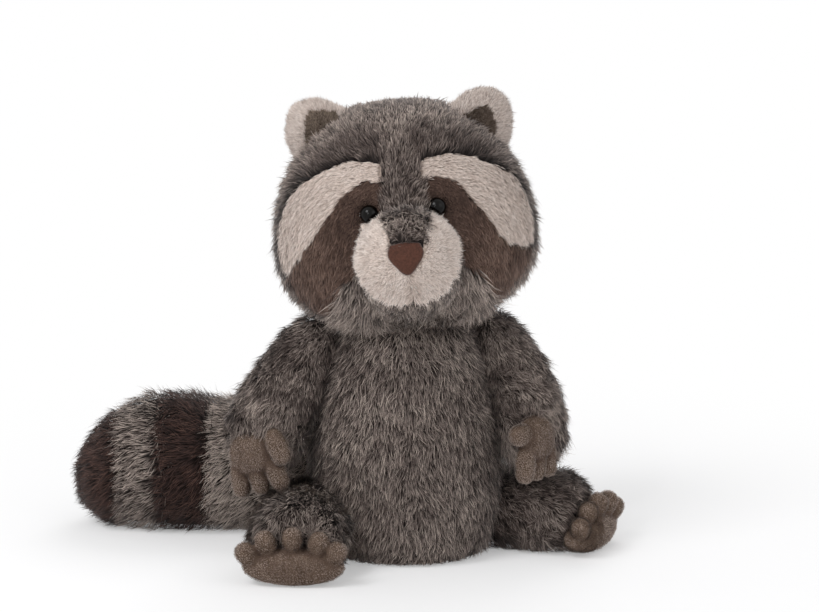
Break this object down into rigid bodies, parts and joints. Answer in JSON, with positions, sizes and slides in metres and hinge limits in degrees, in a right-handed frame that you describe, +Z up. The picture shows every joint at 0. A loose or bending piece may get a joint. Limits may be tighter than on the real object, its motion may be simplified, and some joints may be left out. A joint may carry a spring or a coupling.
{
  "type": "plush raccoon",
  "caption": "Sitting plush raccoon with a masked face, round cream muzzle and ears, spread legs, sewn fingers and toes, and a thick banded tail lying to one side.",
  "frame": {"origin": "middle of the flat underside of the torso, on the surface that the toy sits on", "axes": "+Z up, -Y the way the toy faces, +X the toy's own left; left and right in node names are the toy's own"},
  "size_m": [0.3219, 0.19, 0.2726],
  "materials": {
    "grey_plush": "long tousled pile, grey with dark roots",
    "brown_plush": "long brown pile",
    "cream_plush": "short cream pile",
    "dark_plush": "short dark pile",
    "paw_plush": "very short brown pile",
    "nose_suede": "brushed suede cloth",
    "eye_plastic": "polished black",
    "washer_plastic": "moulded white",
    "fibre_fill": "loose white fibre"
  },
  "bodies": {
    "root": {"torso": "grey_plush", "head_stuffing": "fibre_fill", "head_panel": "grey_plush", "chin_panel": "grey_plush", "brow_band_left": "cream_plush", "brow_band_right": "cream_plush", "mask_panel_left": "brown_plush", "mask_panel_right": "brown_plush", "muzzle_panel": "cream_plush", "nose": "nose_suede", "eye_left": "eye_plastic", "eye_right": "eye_plastic", "eye_washer_left": "washer_plastic", "eye_washer_right": "washer_plastic", "ear_left": "cream_plush", "ear_right": "cream_plush", "ear_lining_left": "dark_plush", "ear_lining_right": "dark_plush", "arm_left": "grey_plush", "arm_right": "grey_plush", "hand_left": "paw_plush", "hand_right": "paw_plush", "leg_left": "grey_plush", "leg_right": "grey_plush", "foot_left": "paw_plush", "foot_right": "paw_plush", "tail_base": "grey_plush", "tail_band_brown": "brown_plush", "tail_band_grey": "grey_plush", "tail_tip": "brown_plush"}
  },
  "joints": []
}
